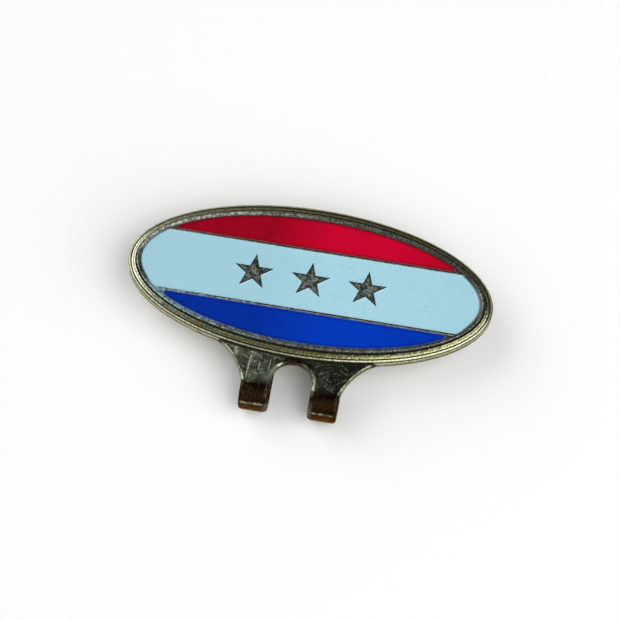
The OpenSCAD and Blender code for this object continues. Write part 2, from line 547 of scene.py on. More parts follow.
def rounded(corners):
    """Points of a line whose corners are rounded. A corner is its place, height, fillet, and how dark it is
    painted, for dirty hollows and for painted shade.
    """
    longest, support = 0.45, 1.08
    points = [corners[0][:2] + corners[0][3:]]
    for before, (place, height, fillet, grime_and_shade), after in zip(corners, corners[1:], corners[2:]):
        here = Vector((place, height))
        if fillet == 0:
            points.append((place, height, grime_and_shade))
            continue
        ways = [Vector(end[:2]) - here for end in (before, after)]
        turn = (math.pi - ways[0].angle(ways[1])) / 2
        reach = min(fillet * math.tan(turn), longest * min(way.length for way in ways))
        arms = [way.normalized() * reach for way in ways]
        points.append((*(here + arms[0] * support), grime_and_shade))
        for k in range(FILLET_STEPS + 1):
            t = k / FILLET_STEPS
            points.append((*(here + arms[0] * (1 - t) ** 2 + arms[1] * t**2), grime_and_shade))
        points.append((*(here + arms[1] * support), grime_and_shade))
    points.append(corners[-1][:2] + corners[-1][3:])
    return points


def oval_sweep(name, groups, material):
    """Sweeps groups of corners, each ("oval" or "round", corners), into one closed piece."""
    points, grime_and_shade = [], []
    for kind, corners in groups:
        for place, height, dirt_and_shade in rounded(corners):
            points.append((place, -1.0, height) if kind == "oval" else (0.0, place, height))
            grime_and_shade.append(dirt_and_shade)
    edges = [(i, i + 1) for i in range(len(points) - 1)]
    obj = mesh_object(name, points, edges, [], {GRIME_AND_SHADE: grime_and_shade})
    return grown(obj, tree_named("Oval sweep", oval_sweep_tree), {
        "Half length": HALF_L, "Half width": HALF_W, "Middle": OVAL_Y, "End share": END_SHARE,
        "Segments": OVAL_SEGMENTS, "Material": material,
    })


def oval_tray(sizes, material):
    """The clip's oval: ridged rim, tray, and the magnet's cup."""
    pocket = MAGNET_HIGH.x + sizes.cup_clear
    cup = pocket + sizes.cup_wall
    cup_under = CUP_FLOOR - sizes.cup_wall
    groove_in = sizes.outer_ridge_w + sizes.groove_w
    rim = groove_in + sizes.inner_ridge_w
    groove = RIDGE_TOP - sizes.groove_d
    fine, fine_w = rim - sizes.fine_line, 0.045 * MM
    crest_h = 0.16 * MM
    sheet_top = 2 * sizes.bend_r
    sheet_under = sheet_top - sizes.sheet_t
    pan = rim - sizes.tray_wall
    pan_under = TRAY_FLOOR - sizes.sheet_t
    flat = 0.4 * MM
    # Each corner's last number darkens the metal there: dirty hollows, and painted shade in the grooves, at
    # the inner wall and under the sheet
    return oval_sweep("oval_tray", [
        ("round", [
            (0.0, CUP_FLOOR, 0.0, 0.5),
            (pocket, CUP_FLOOR, 0.1 * MM, 0.8),
            (pocket, TRAY_FLOOR, 0.1 * MM, 0.2),
            (pocket + flat, TRAY_FLOOR, 0.0, 0.3),
        ]),
        ("oval", [
            (rim + flat, TRAY_FLOOR, 0.0, 0.5),
            (rim, TRAY_FLOOR, 0.08 * MM, 1.0),
            (rim, RIDGE_TOP - crest_h, 0.0, 1.0),
            (rim, RIDGE_TOP, 0.12 * MM, 0.0),
            (fine + fine_w, RIDGE_TOP - fine_w, 0.02 * MM, 0.0),
            (fine, RIDGE_TOP - 2 * fine_w, 0.02 * MM, 0.7),
            (fine - fine_w, RIDGE_TOP - fine_w, 0.02 * MM, 0.0),
            (groove_in, RIDGE_TOP - sizes.ridge_fall, 0.3 * MM, 0.0),
            (groove_in, groove, 0.05 * MM, 1.0),
            (sizes.outer_ridge_w, groove, 0.05 * MM, 1.0),
            (sizes.outer_ridge_w, RIDGE_TOP - sizes.ridge_fall / 2, 0.12 * MM, 0.0),
            (sizes.ledge_w, RIDGE_TOP - sizes.outer_fall, 0.3 * MM, 0.0),
            (sizes.ledge_w, sheet_top, 0.05 * MM, 1.0),
            (0.0, sheet_top, 0.16 * MM, 0.1),
            (0.0, sheet_under, 0.2 * MM, 0.9),
            (pan, sheet_under, 0.12 * MM, 0.9),
            (pan, pan_under, 0.3 * MM, 0.0),
            (pan + flat, pan_under, 0.0, 0.0),
        ]),
        ("round", [
            (cup + flat, pan_under, 0.0, 0.3),
            (cup, pan_under, 0.2 * MM, 0.7),
            (cup, cup_under, 0.3 * MM, 0.0),
            (0.0, cup_under, 0.0, 0.0),
        ]),
    ], material)


# The bent blank of legs and tongue


class Blank:
    """The clip's flat blank: the lines that its slot and its sides follow, and how its sheet is bent."""

    # Where the flare meets the oval: how far inside its edge, at which turn of the arch, over what length the
    # rolled edge fades there, and the share of it that is left
    CORNER_INSET = 0.4 * MM
    CORNER_TURN = math.radians(55)
    CORNER_FADE = 2.5 * MM
    CORNER_LEFT = 0.1

    # The straight strip below the flare, the shares of the rolled edge past the bend and under the rim, and
    # the length over which it slims
    BITE = 0.15 * MM
    SLIM = 0.35
    SLIM_UNDER = 0.05
    SLIM_FADE = 2 * MM

    # Where the brown painted reflection comes in at the bend line, and, in degrees round the bend, where a
    # painted dark reflection comes and goes and where a line is left clear of it, so that the metal's own
    # reflection shows
    BROWN_COMES = (-1.5 * MM, 0.6 * MM)
    DARK_REFLECTION_COMES = (4, 16)
    DARK_REFLECTION_GOES = (44, 58)
    CLEAR_LINE_TURN = 62
    CLEAR_LINE_SPREAD = 3.5

    def __init__(self, sizes):
        self.sizes = sizes
        self.slot = sizes.slot_w / 2
        self.middle_r = sizes.bend_r - sizes.sheet_t / 2
        self.bend_y = CLIP_LOW.y + sizes.bend_r
        self.arch_y = OVAL_Y - HALF_W - sizes.bridge_w - self.slot
        self.back_arch_y = self.bend_y + sizes.back_slot_l - self.slot
        self.back_bar_y = self.bend_y + sizes.back_slot_l + sizes.back_bar_w
        self.grip_y = self.bend_y + sizes.grip_l
        self.rise = TONGUE_HIGH.z - sizes.sheet_t
        self.bend_end = self.bend_y - math.pi * self.middle_r
        self.flare_y = self.bend_y + self.BITE
        self.set_flare()

    def set_flare(self):
        """Sets the arc that leaves the leg at its lean, above the bend, and ends under the oval's edge."""
        lean, foot = self.sizes.leg_lean, Vector((SPAN, self.flare_y))
        end = Vector((self.sizes.flare_w, OVAL_Y + self.BITE - oval_h(self.sizes.flare_w, 0.0)))
        way = Vector((math.cos(lean), -math.sin(lean)))
        step = end - foot
        self.flare_r = step.length_squared / (2 * step.dot(way))
        self.flare_centre = foot + self.flare_r * way
        self.corner = farthest(lean, QUARTER, lambda t: oval_gap(*self.flare_point(t), self.CORNER_INSET) > 0)
        self.corner_x = self.flare_point(self.corner).x

    def flare_point(self, turn):
        return self.flare_centre + self.flare_r * Vector((-math.cos(turn), math.sin(turn)))

    def flare_turn(self, y):
        return math.asin((y - self.flare_centre.y) / self.flare_r)

    def flare_side(self, turn):
        """Point, way into the sheet and roll share on the flare."""
        point = self.flare_point(turn)
        way = Vector((-math.cos(turn), math.sin(turn)))
        left = (self.corner - turn) * self.flare_r
        faded = min(max(left / self.CORNER_FADE, self.CORNER_LEFT), 1.0)
        return point, way, self.slimmer(point.y - self.flare_y) * faded

    def slimmer(self, past):
        """Share of the rolled edge at a distance past the bend."""
        return mix(1.0, self.SLIM, ease(0.0, self.SLIM_FADE, past))

    def oval_side(self, x):
        """Point, way into the sheet and roll share along the hidden edge under the rim."""
        point = Vector((x, OVAL_Y - oval_h(x, self.CORNER_INSET)))
        return point, Vector((0.0, -1.0)), self.SLIM_UNDER

    def slot_edge(self, y):
        """Point, way into the sheet and roll share along the slot's straight side."""
        return Vector((self.slot, y)), Vector((1.0, 0.0)), 1.0

    def side_edge(self, y, share):
        """Point, way into the sheet and roll share along the sheet's straight side."""
        return Vector((SPAN, y)), Vector((-1.0, 0.0)), share

    def arch_edge(self, centre_y, turn):
        """Point, way into the sheet and roll share round an arch."""
        way = Vector((math.cos(turn), math.sin(turn)))
        return Vector((0.0, centre_y)) + self.slot * way, way, mix(1.0, self.SLIM, turn / QUARTER)

    def front_lines(self):
        """Pairs of slot edge and outer edge from the end of the bend to the top of the arch."""
        bend_steps, leg_steps, arch_steps = 40, 6, 44
        straight = [mix(self.bend_end, self.bend_y, k / bend_steps) for k in range(bend_steps)]
        straight += [self.bend_y]
        straight += [mix(self.flare_y, self.arch_y, k / leg_steps) for k in range(leg_steps)]
        for y in straight:
            straight_side = y < self.flare_y
            outer = self.side_edge(y, 1.0) if straight_side else self.flare_side(self.flare_turn(y))
            yield self.slot_edge(y), outer
        start = self.flare_turn(self.arch_y)
        for k in range(arch_steps + 1):
            turn = QUARTER * k / arch_steps
            inner = self.arch_edge(self.arch_y, turn)
            if turn < self.CORNER_TURN:
                yield inner, self.flare_side(mix(start, self.corner, turn / self.CORNER_TURN))
            else:
                left = (QUARTER - turn) / (QUARTER - self.CORNER_TURN)
                yield inner, self.oval_side(self.corner_x * left)

    def back_lines(self):
        """Pairs of slot edge and outer edge from the bend line to the tongue's tip."""
        leg_steps, arch_steps = 16, 54
        for k in range(leg_steps):
            y = mix(self.bend_y, self.back_arch_y, k / leg_steps)
            yield self.slot_edge(y), self.side_edge(y, self.slimmer(y - self.bend_y))
        side = TIP_Y - SPAN - self.back_arch_y
        whole = side + QUARTER * SPAN
        for k in range(arch_steps + 1):
            inner = self.arch_edge(self.back_arch_y, QUARTER * k / arch_steps)
            along = whole * k / arch_steps
            if along < side:
                outer = self.side_edge(self.back_arch_y + along, self.SLIM)
            else:
                turn = (along - side) / SPAN
                way = Vector((math.cos(turn), math.sin(turn)))
                outer = (Vector((0.0, TIP_Y - SPAN)) + SPAN * way, -way, self.SLIM)
            yield inner, outer

    def bend_turn(self, y):
        """Angle round the bend at a place along the flat blank."""
        return min(max((self.bend_y - y) / self.middle_r, 0.0), math.pi)

    def front_place(self, x, y, lift):
        """A point of the flat blank on the legs and bends. Lift is its height over the sheet's middle."""
        turn = self.bend_turn(y)
        radius = self.middle_r + lift
        flat_y = max(y, self.bend_y)
        return Vector((x, flat_y - radius * math.sin(turn), self.sizes.bend_r + radius * math.cos(turn)))

    def tongue_z(self, y):
        """Height of the tongue's middle: flat, rising to the grip line, then falling to the tip."""
        ends = [(self.back_bar_y, 0.0), (self.grip_y, self.rise), (TIP_Y, 0.0)]
        slopes = [0.0] + [(b[1] - a[1]) / (b[0] - a[0]) for a, b in zip(ends, ends[1:])]
        height, soft = self.sizes.sheet_t / 2, 0.9 * MM
        for (knee, _), before, after in zip(ends, slopes, slopes[1:]):
            past = y - knee
            ramp = max(past, 0.0) if abs(past) > soft else (past + soft) ** 2 / (4 * soft)
            height += (after - before) * ramp
        return height

    def back_place(self, x, y, lift):
        """A point of the flat blank on the tongue, whose outer face looks down."""
        step = 0.05 * MM
        slope = (self.tongue_z(y + step) - self.tongue_z(y - step)) / (2 * step)
        up = Vector((0.0, -slope, 1.0)).normalized()
        return Vector((x, y, self.tongue_z(y))) - lift * up

    def front_marks(self, x, y, edge):
        """Marks on the legs and bends: dirty hollows and painted shade, tarnishing and painted reflection,
        wear, and edge.
        """
        turn = math.degrees(self.bend_turn(y))
        # A line round the bend is left clear of the painted reflection
        clear_line = 0.6 * math.exp(-(((turn - self.CLEAR_LINE_TURN) / self.CLEAR_LINE_SPREAD) ** 2))
        brown = ease(*self.BROWN_COMES, self.bend_y - y) * (1 - clear_line)
        above = y - self.arch_y
        off_arch = math.hypot(x, above) - self.slot
        arch = ease(0.5 * self.slot, self.slot, above) * (1 - ease(0.3 * MM, MM, off_arch))
        # Painted dark reflection round the upper part of the bend, and painted shade where the legs run in
        # under the rim
        dark_reflection = 0.55 * ease(*self.DARK_REFLECTION_COMES, turn) * (1 - ease(*self.DARK_REFLECTION_GOES, turn))
        grime_and_shade = max(dark_reflection, 1 - ease(0.05 * MM, 0.35 * MM, oval_gap(x, y)))
        tarnish_and_reflection, wear = max(brown, 0.8 * arch), 1.0
        return grime_and_shade, tarnish_and_reflection, wear, edge

    def back_marks(self, x, y, edge):
        """The same marks on the tongue, whose brown painted reflection, carried on from the bend, fades past
        it.
        """
        tarnish_and_reflection, wear = 1 - ease(0.5 * MM, 4 * MM, y - self.bend_y), 0.5
        return 0.0, tarnish_and_reflection, wear, edge

    def rings(self, lines, place, marks, middle_steps):
        """Closed rings of points across the sheet, and their marks, from one leg round to the other."""
        sizes, support = self.sizes, 1.15
        half_t, burr = sizes.sheet_t / 2, (sizes.burr_r, sizes.burr_r)
        slot_roll, side_roll = (sizes.slot_roll_w, sizes.slot_roll_h), (sizes.side_roll_w, sizes.side_roll_h)

        def edge_points(edge, roll, face):
            point, way, share = edge
            width, drop_h = (share * size for size in roll)
            for k in range(ROLL_STEPS + 1):
                turn = QUARTER * k / ROLL_STEPS
                spot = point + way * width * (1 - math.cos(turn))
                yield spot, face * (half_t - drop_h * (1 - math.sin(turn))), math.sin(2 * turn)
            yield point + way * width * support, face * half_t, 0.0

        def face_line(inner, outer, face):
            first = list(edge_points(inner, slot_roll if face > 0 else burr, face))
            last = list(edge_points(outer, side_roll if face > 0 else burr, face))
            middle = [
                (first[-1][0].lerp(last[-1][0], k / middle_steps), face * half_t, 0.0)
                for k in range(1, middle_steps)
            ]
            return first + middle + last[::-1]

        rings, notes = [], []
        for inner, outer in lines:
            line = face_line(inner, outer, 1) + face_line(inner, outer, -1)[::-1]
            rings.append([(spot.x, spot.y, lift) for spot, lift, _ in line])
            notes.append([marks(spot.x, spot.y, edge) for spot, _, edge in line])
        mirrored = [[(-x, y, lift) for x, y, lift in ring] for ring in rings[-2::-1]]
        return [[place(*p) for p in ring] for ring in rings + mirrored], notes + notes[-2::-1]

    def strip(self, name, lines, place, marks, middle_steps):
        """A closed sheet piece with capped ends."""
        rings, notes = self.rings(lines, place, marks, middle_steps)
        points, faces = tube(rings)
        flat = [note for ring in notes for note in ring]
        columns = {label: [note[i] for note in flat] for i, label in enumerate((GRIME_AND_SHADE, TARNISH_AND_REFLECTION, WEAR, EDGE))}
        return clean(mesh_object(name, points, [], faces, columns))


# The marker's relief and enamel


def star_reach(turn, radius):
    """Distance from a five-pointed star's middle to its edge. One point looks up."""
    off = (turn - QUARTER) % STAR_FOLD
    off = min(off, STAR_FOLD - off)
    return radius * math.cos(STAR_FOLD) / math.cos(STAR_FOLD - off)


def star_scale(sizes, out):
    """How much a star grows when its edges all move out."""
    core = sizes.star_r * math.cos(STAR_FOLD)
    return (core + out) / core


def in_a_row(obj, count, step, material):
    return grown(obj, tree_named("Row", row_tree), {"Count": count, "Step": step, "Material": material})


def star_row(sizes, material):
    """The raised stars, with rounded edges that are darkened towards the enamel as painted shade."""
    top = MARKER_TOP - sizes.relief_dip
    edge, steps = sizes.relief_edge, 6
    corners, fall = 10, 0.25 * edge
    levels = [(0.0, ROOT), (0.0, top - fall)]
    levels += [(edge * k / steps, top - fall * (1 - k / steps) ** 2) for k in range(1, steps + 1)]
    points, grime_and_shade = [], []
    for inset, height in levels:
        grime_and_shade += [1 - inset / edge] * corners
        for k in range(corners):
            turn = QUARTER + k * math.tau / corners
            reach = star_reach(turn, sizes.star_r) * star_scale(sizes, -inset)
            points.append((reach * math.cos(turn), OVAL_Y + reach * math.sin(turn), height))
    faces = bridged(len(levels), corners)
    for start, height in ((0, levels[0][1]), ((len(levels) - 1) * corners, top)):
        points.append((0.0, OVAL_Y, height))
        grime_and_shade.append(0.0)
        hub = len(points) - 1
        faces += [(start + k, start + (k + 1) % corners, hub) for k in range(corners)]
    obj = mesh_object("stars", points, [], faces, {RELIEF: [1.0] * len(points), GRIME_AND_SHADE: grime_and_shade})
    return in_a_row(obj, sizes.star_count, (sizes.star_pitch, 0.0, 0.0), material)


def divider_row(sizes, material):
    """The two raised lines between the fields, with rounded tops, let into the rim at both ends."""
    top = MARKER_TOP - sizes.relief_dip
    half = (BAND_OUTER - BAND_INNER) / 2
    middle = (BAND_OUTER + BAND_INNER) / 2
    round_h, let_in = 0.06 * MM, 0.22 * MM
    arc_steps, steps = 10, 60
    arc = [math.pi * k / arc_steps for k in range(arc_steps + 1)]
    section = [(half, ROOT)] + [(half * math.cos(t), top - round_h * (1 - math.sin(t))) for t in arc]
    section += [(-half, ROOT)]
    reach = oval_x(OVAL_Y + middle, RECESS_INSET - let_in)
    places = [mix(-reach, reach, i / steps) for i in range(steps + 1)]
    points, faces = tube([[(x, OVAL_Y + y, z) for y, z in section] for x in places])
    obj = mesh_object("dividers", points, [], faces, {RELIEF: [0.6] * len(points)})
    return in_a_row(obj, 2, (0.0, 2 * middle, 0.0), material)


def tip_webs(sizes, material):
    """Small webs of metal that fill the corners behind the rounded tips of the outer fields."""
    lap, sink = 0.05 * MM, 0.03 * MM
    rim_steps, arc_steps = 8, 14
    tip = FieldTip(RECESS_INSET, BAND_OUTER, sizes.tip_r)
    top = MARKER_TOP - sizes.relief_dip - sink
    outline = [(tip.x, tip.low - lap), (tip.corner + lap, tip.low - lap)]
    for k in range(rim_steps + 1):
        x = mix(tip.corner, tip.touch_x, k / rim_steps)
        outline.append((x + lap / 2, oval_h(x, RECESS_INSET) + lap))
    outline += [tip.arc(mix(tip.touch, -QUARTER, k / arc_steps)) for k in range(arc_steps + 1)]
    points, faces = gathered(
        tube([[(side_x * x, OVAL_Y + side_y * y, z) for x, y in outline] for z in (ROOT, top)])
        for side_x, side_y in ((1, 1), (-1, 1), (-1, -1), (1, -1))
    )
    obj = clean(mesh_object("tip_webs", points, [], faces, {RELIEF: [0.6] * len(points)}))
    obj.data.materials.append(material)
    return obj


def marker_rim(sizes, material):
    """The marker's base plate and rim."""
    foot, flat, hub = RECESS_INSET + 0.02 * MM, 0.3 * MM, 0.2 * MM
    slope_top = RECESS_INSET - sizes.rim_slope_w
    border, back_edge, back_flat = (MARKER_INSET + w * MM for w in (0.7, 0.85, 1.4))
    back = TRAY_FLOOR + 0.05 * MM
    # Each corner's last number darkens the metal there: dirty corners, and painted shade on the inner slope
    # and the outer bevel
    return oval_sweep("marker_rim", [
        ("round", [(0.0, RECESS_FLOOR, 0.0, 0.0), (hub, RECESS_FLOOR, 0.0, 0.0)]),
        ("oval", [
            (foot + flat, RECESS_FLOOR, 0.0, 0.5),
            (foot, RECESS_FLOOR, 0.0, 1.0),
            (foot, MARKER_TOP - sizes.rim_foot_dip, 0.03 * MM, 1.0),
            (slope_top, MARKER_TOP, 0.1 * MM, 0.7),
            (MARKER_INSET + sizes.rim_bevel, MARKER_TOP - sizes.rim_fall, 0.1 * MM, 0.8),
            (MARKER_INSET, MARKER_TOP - sizes.rim_fall - sizes.rim_bevel, 0.1 * MM, 1.0),
            (MARKER_INSET, TRAY_FLOOR, 0.15 * MM, 0.6),
            (border, TRAY_FLOOR, 0.05 * MM, 0.0),
            (back_edge, back, 0.05 * MM, 0.4),
            (back_flat, back, 0.0, 0.1),
        ]),
        ("round", [(hub, back, 0.0, 0.0), (0.0, back, 0.0, 0.0)]),
    ], material)


class FieldTip:
    """Outline of an outer field near its tips, where a small arc joins the divider to the rim."""

    def __init__(self, inset, low, radius):
        self.inset, self.low, self.radius = inset, low, radius
        self.y = low + radius
        high = OVAL_Y + self.y
        self.x = farthest(0.0, oval_x(high, inset), lambda x: -oval_gap(x, high, inset) > radius)
        self.end = self.x + radius
        self.corner = oval_x(OVAL_Y + low, inset)
        a, b = half_axes(inset)
        self.touch = math.atan2(self.y / b**2, self.x / a**2)
        self.touch_x = self.x + radius * math.cos(self.touch)

    def arc(self, turn):
        return self.x + self.radius * math.cos(turn), self.y + self.radius * math.sin(turn)

    def sides(self, x):
        """Lower and upper side of the field at a place along X."""
        bulge = math.sqrt(max(self.radius**2 - (x - self.x) ** 2, 0.0))
        low = self.low if x < self.x else self.y - bulge
        high = oval_h(x, self.inset) if x < self.touch_x else self.y + bulge
        return low, high

    def gap(self, x, y, low, high):
        """Distance to the nearest metal."""
        if x > self.x:
            return self.radius - math.hypot(x - self.x, y - self.y)
        return min(y - low, -oval_gap(x, OVAL_Y + y, self.inset), high - y)


class Enamel:
    """Fields of enamel that climb a little where they meet metal."""

    # How far a field laps into the metal, the shares of its edge at which it has points, how steeply it
    # climbs, and where along Y painted shadow comes in at the rim
    LAP = 0.01 * MM
    SHARES = (0.0, 0.08, 0.2, 0.36, 0.55, 0.76, 1.0)
    CLIMB = 2.2
    SHADOW_COMES = (-5 * MM, -2 * MM)

    def __init__(self, sizes, reach):
        self.sizes, self.reach = sizes, reach
        self.inset = RECESS_INSET - self.LAP
        self.edges = [reach * s for s in self.SHARES]

    def height(self, gap):
        """Height of the enamel at a distance from the nearest metal."""
        left = max(1 - max(gap, 0.0) / self.sizes.meniscus_w, 0.0)
        return ENAMEL_TOP + self.sizes.meniscus_h * left**self.CLIMB

    def spread(self, low, high, middle_steps):
        """Places from low to high, close together near both ends."""
        fit = min(1.0, (high - low) / (3 * self.reach))
        start = [low + e * fit for e in self.edges]
        end = [high - e * fit for e in reversed(self.edges)]
        inner = [mix(start[-1], end[0], k / middle_steps) for k in range(1, middle_steps)]
        return start + inner + end

    def solid(self, name, points, faces):
        """Closes a field down to the floor of the recess. A point is x, y and its distance from metal."""
        count = len(points)
        marks = [max(1 - max(gap, 0.0) / self.reach, 0.0) for _, _, gap in points]
        # Painted shadow along the rim, on the far side only
        far = [ease(*self.SHADOW_COMES, y - OVAL_Y) for _, y, _ in points]
        rim = [max(1 + oval_gap(x, y, self.inset) / self.sizes.shade_w, 0.0) for x, y, _ in points]
        grime_and_shade = [a * b for a, b in zip(far, rim)]
        whole = [(x, y, self.height(gap)) for x, y, gap in points]
        whole += [(x, y, RECESS_FLOOR) for x, y, _ in points]
        obj = mesh_object(name, whole, [], faces, {EDGE: marks * 2, GRIME_AND_SHADE: grime_and_shade * 2})
        bm = bmesh.new()
        bm.from_mesh(obj.data)
        bm.verts.ensure_lookup_table()
        border = [(e.verts[0].index, e.verts[1].index) for e in bm.edges if e.is_boundary]
        for face in list(bm.faces):
            bm.faces.new([bm.verts[v.index + count] for v in reversed(face.verts)])
        for a, b in border:
            bm.faces.new([bm.verts[i] for i in (a, b, b + count, a + count)])
        bm.to_mesh(obj.data)
        bm.free()
        return clean(obj)

    def grid(self, columns):
        """Points and faces of a field from columns with the same number of points."""
        points = [p for column in columns for p in column]
        return points, bridged(len(columns), len(columns[0]), closed=False)

    def outer_field(self, name, side):
        """The field above the band, or below it where side is -1, with rounded tips."""
        tip = FieldTip(self.inset, BAND_OUTER - self.LAP, self.sizes.tip_r + self.LAP)
        steps, middle_steps, nearly = 160, 8, 0.9999
        end = nearly * tip.end
        columns = []
        for i in range(steps + 1):
            x = end * math.sin(QUARTER * (2 * i / steps - 1))
            low, high = tip.sides(abs(x))
            places = self.spread(low, high, middle_steps)
            columns.append([(x, OVAL_Y + side * y, tip.gap(abs(x), y, low, high)) for y in places])
        return self.solid(name, *self.grid(columns))

    def band_field(self, name):
        """The middle band, with a hole for each star."""
        sizes, half_w = self.sizes, BAND_INNER + self.LAP
        half_c = sizes.star_pitch / 2
        turn_step, least_step = math.radians(2), math.radians(0.3)
        middle_steps, end_steps, tiny = 3, 24, 1e-9
        steep = [math.atan2(half_w - e, half_c) for e in self.edges]
        even = [turn_step * k for k in range(round(QUARTER / turn_step))]
        quarter = sorted(steep + [t for t in even if min(abs(t - s) for s in steep) > least_step])
        turns = quarter + [math.pi - t for t in quarter[:0:-1]] + [QUARTER]
        turns = sorted(set(turns) | {t + math.pi for t in turns} | {math.pi})
        cells = []
        core = sizes.star_r * math.cos(STAR_FOLD)
        for i in range(sizes.star_count):
            centre = (i - (sizes.star_count - 1) / 2) * sizes.star_pitch
            columns = []
            for turn in turns + turns[:1]:
                star = star_reach(turn, sizes.star_r)
                wall = min(half_c / max(abs(math.cos(turn)), tiny), half_w / max(abs(math.sin(turn)), tiny))
                reaches = [star * star_scale(sizes, e - self.LAP) for e in self.edges]
                ends = [wall * (1 - e / half_w) for e in reversed(self.edges)]
                inner = [mix(reaches[-1], ends[0], k / middle_steps) for k in range(1, middle_steps)]
                column = []
                for r in reaches + inner + ends:
                    x, y = r * math.cos(turn), r * math.sin(turn)
                    star_gap = (r / star - 1) * core + self.LAP
                    column.append((centre + x, OVAL_Y + y, min(star_gap, half_w - abs(y))))
                columns.append(column)
            cells.append(self.grid(columns))

        rows = sorted({round(half_c * math.tan(t), 9) for t in quarter})
        rows = [y for y in rows if y <= half_w + tiny]
        rows = [-y for y in reversed(rows) if y > 0] + rows
        start = sizes.star_count * half_c
        for side in (-1, 1):
            columns = []
            for y in rows:
                end = oval_x(OVAL_Y + y, self.inset)
                places = [mix(start, end - self.edges[-1], k / end_steps) for k in range(end_steps)]
                places += [end - e for e in reversed(self.edges)]
                columns.append([
                    (side * x, OVAL_Y + y, min(half_w - abs(y), -oval_gap(x, OVAL_Y + y, self.inset)))
                    for x in places
                ])
            cells.append(self.grid(columns))
        return self.solid(name, *self.welded(*gathered(cells)))

    def welded(self, points, faces):
        """Merges points that fall on each other, so that cells of a field are one sheet."""
        seen, index, kept = {}, [], []
        for x, y, gap in points:
            key = (round(x / MM, 4), round(y / MM, 4))
            if key not in seen:
                seen[key] = len(kept)
                kept.append((x, y, gap))
            index.append(seen[key])
        return kept, [tuple(index[i] for i in face) for face in faces]


# Shader groups


def shader_group(name, **inputs):
    """An empty shader group with named inputs, those inputs, and a function that ends it with its mask."""
    tree = bpy.data.node_groups.new(name, "ShaderNodeTree")
    tree.interface.new_socket("Vector", in_out="INPUT", socket_type="NodeSocketVector")
    for label, default in inputs.items():
        socket = tree.interface.new_socket(label, in_out="INPUT", socket_type="NodeSocketFloat")
        socket.default_value = default
    tree.interface.new_socket("Mask", in_out="OUTPUT", socket_type="NodeSocketFloat")
    given = values(tree, tree.nodes.new("NodeGroupInput").outputs)

    def finish(mask):
        add(tree, "NodeGroupOutput", {"Mask": mask})
        return tree

    return tree, given, finish


def noise(tree, vector, scale, detail=2.0, rough=0.5):
    inputs = {"Vector": vector, "Scale": scale, "Detail": detail, "Roughness": rough}
    return worked(tree, "ShaderNodeTexNoise", inputs)


def scratches_group():
    """Broken fine lines, long in one direction."""
    tree, given, finish = shader_group(
        "Fine scratches", Turn=0.0, Density=2500.0, Stretch=0.06, Width=0.02, Cover=0.5
    )
    turn = {"Vector": given["Vector"], "Angle": given["Turn"]}
    turned = worked(tree, "ShaderNodeVectorRotate", turn, rotation_type="Z_AXIS")
    long_way = worked(tree, "ShaderNodeCombineXYZ", {0: 1.0, 1: given["Stretch"], 2: 1.0})
    drawn = worked(tree, "ShaderNodeVectorMath", {0: turned, 1: long_way}, operation="MULTIPLY")
    foot = 0.7 - given["Width"]
    lines = noise(tree, drawn, given["Density"]).span(foot, foot + 0.04)
    lowest = 0.75 - given["Cover"] * 0.5
    return finish(lines * noise(tree, turned, given["Density"] * 0.25).span(lowest, lowest + 0.1))


def blotches_group():
    """Soft uneven patches."""
    tree, given, finish = shader_group("Blotches", Scale=700.0, Cover=0.5, Softness=0.12)
    level = noise(tree, given["Vector"], given["Scale"], 6.0, 0.6)
    middle = 0.8 - given["Cover"] * 0.6
    return finish(level.span(middle - given["Softness"], middle + given["Softness"]))


def specks_group():
    """Small round specks, scattered thinly."""
    tree, given, finish = shader_group("Specks", Scale=1600.0, Share=0.1, Size=0.16)
    grid = {"Vector": given["Vector"], "Scale": given["Scale"]}
    cells = values(tree, add(tree, "ShaderNodeTexVoronoi", grid).outputs)
    chosen = values(tree, add(tree, "ShaderNodeSeparateColor", {0: cells["Color"]}).outputs)
    picked = chosen["Red"].maths("LESS_THAN", chosen["Red"], given["Share"])
    edge = given["Size"] * (chosen["Green"] + 0.4)
    return finish(cells["Distance"].span(edge * 0.5, edge, 1.0, 0.0) * picked)


# Finishes


class Finish:
    """A material under way: its tree, its shader and its coordinates."""

    def __init__(self, name, **plain):
        self.material = bpy.data.materials.new(name)
        self.material.use_nodes = True
        self.tree = self.material.node_tree
        self.shader = self.tree.nodes["Principled BSDF"]
        self.where = worked(self.tree, "ShaderNodeTexCoord", output="Object")
        for label, value in plain.items():
            self.shader.inputs[label.replace("_", " ")].default_value = value

    def mark(self, label):
        """A mark that the mesh carries."""
        return worked(self.tree, "ShaderNodeAttribute", output="Fac", attribute_name=label)

    def group(self, name, build, inputs):
        inputs = {"Vector": self.where, **inputs}
        return worked(self.tree, "ShaderNodeGroup", inputs, node_tree=tree_named(name, build))

    def scratches(self, **inputs):
        return self.group("Fine scratches", scratches_group, inputs)

    def blotches(self, **inputs):
        return self.group("Blotches", blotches_group, inputs)

    def specks(self, **inputs):
        return self.group("Specks", specks_group, inputs)

    def grain(self, scale, detail=3.0):
        return noise(self.tree, self.where, scale, detail, 0.6)

    def layers(self, first, *others):
        """Lays colours over the first one in turn, each by its mask."""
        for over, mask in others:
            a, b = (tone if isinstance(tone, Value) else (*tone, 1.0) for tone in (first, over))
            first = worked(self.tree, "ShaderNodeMix", {0: mask, 6: a, 7: b}, 2, data_type="RGBA")
        return first

    def connect(self, **sockets):
        for label, value in sockets.items():
            self.tree.links.new(value.socket, self.shader.inputs[label.replace("_", " ")])

    def bump(self, height, distance):
        self.connect(Normal=worked(self.tree, "ShaderNodeBump", {"Height": height, "Distance": distance}))


def dimmed(tone, share):
    return [share * c for c in tone]


